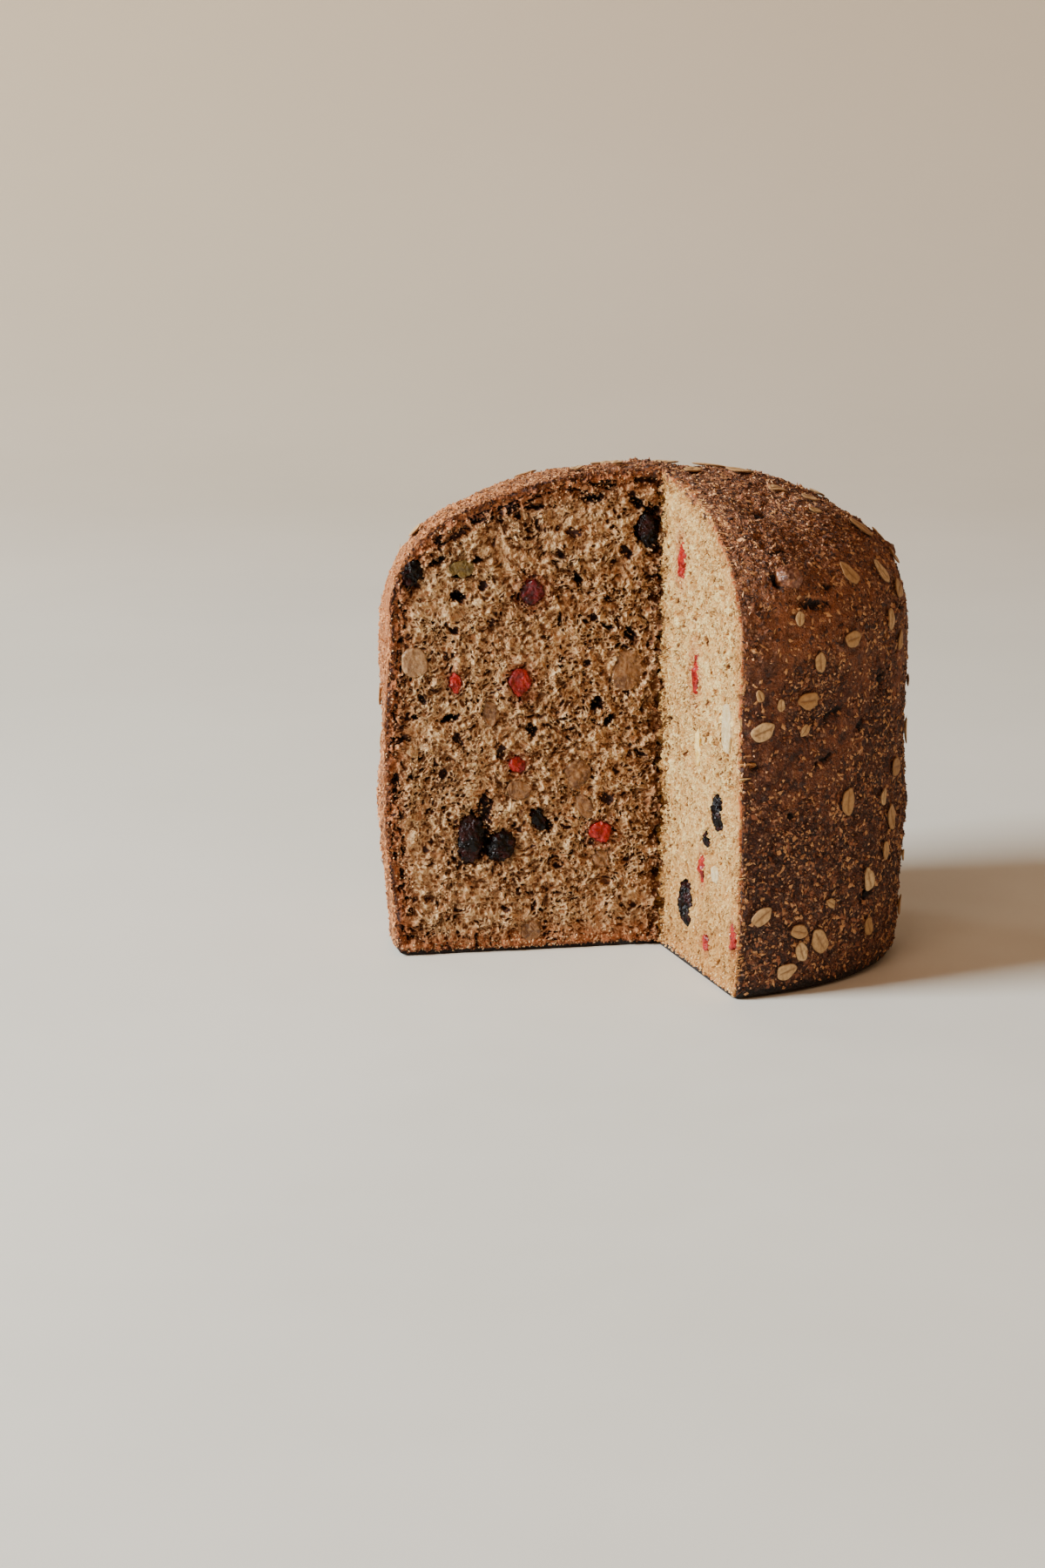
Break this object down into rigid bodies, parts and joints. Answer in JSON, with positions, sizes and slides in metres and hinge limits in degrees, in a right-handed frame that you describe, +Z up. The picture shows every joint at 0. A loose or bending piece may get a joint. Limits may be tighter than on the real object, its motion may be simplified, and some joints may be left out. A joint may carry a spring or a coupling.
{
  "type": "panettone",
  "caption": "Domed round fruit loaf rolled in oat flakes, with a wedge cut out that shows porous crumb, raisins, candied cherries and peel.",
  "frame": {"origin": "middle of the flat round base, on the surface the loaf stands on", "axes": "+Z up, the cut-out opens towards -Y and a little to -X, +X to the right of the cut side"},
  "size_m": [0.1415, 0.1369, 0.1306],
  "materials": {
    "bread": "matte baked crust with oat flakes, open brown crumb inside",
    "raisin": "moist, wrinkled, near black",
    "candied_cherry": "translucent syrupy red",
    "candied_peel": "translucent amber",
    "candied_citron": "translucent, pale"
  },
  "bodies": {
    "root": {"loaf": "bread", "raisin_shoulder": "raisin", "peel_green": "candied_peel", "cherry_upper": "candied_cherry", "citron_edge": "candied_citron", "cherry_middle": "candied_cherry", "cherry_sliver": "candied_cherry", "peel_inner": "candied_peel", "peel_brown": "candied_peel", "cherry_lower": "candied_cherry", "peel_yellow": "candied_peel", "peel_amber": "candied_peel", "peel_strip": "candied_peel", "raisin_tall": "raisin", "raisin_round": "raisin", "raisin_small": "raisin", "cherry_right": "candied_cherry", "peel_pale": "candied_peel", "raisin_corner": "raisin", "peel_base": "candied_peel", "cherry_strip_top": "candied_cherry", "cherry_strip_middle": "candied_cherry", "peel_sliver": "candied_peel", "citron_outer": "candied_citron", "raisin_outer": "raisin", "raisin_bit": "raisin", "cherry_strip_low": "candied_cherry", "raisin_big": "raisin", "citron_low": "candied_citron", "cherry_bit": "candied_cherry", "cherry_edge": "candied_cherry", "peel_knob": "candied_peel", "peel_browned": "candied_peel"}
  },
  "joints": []
}
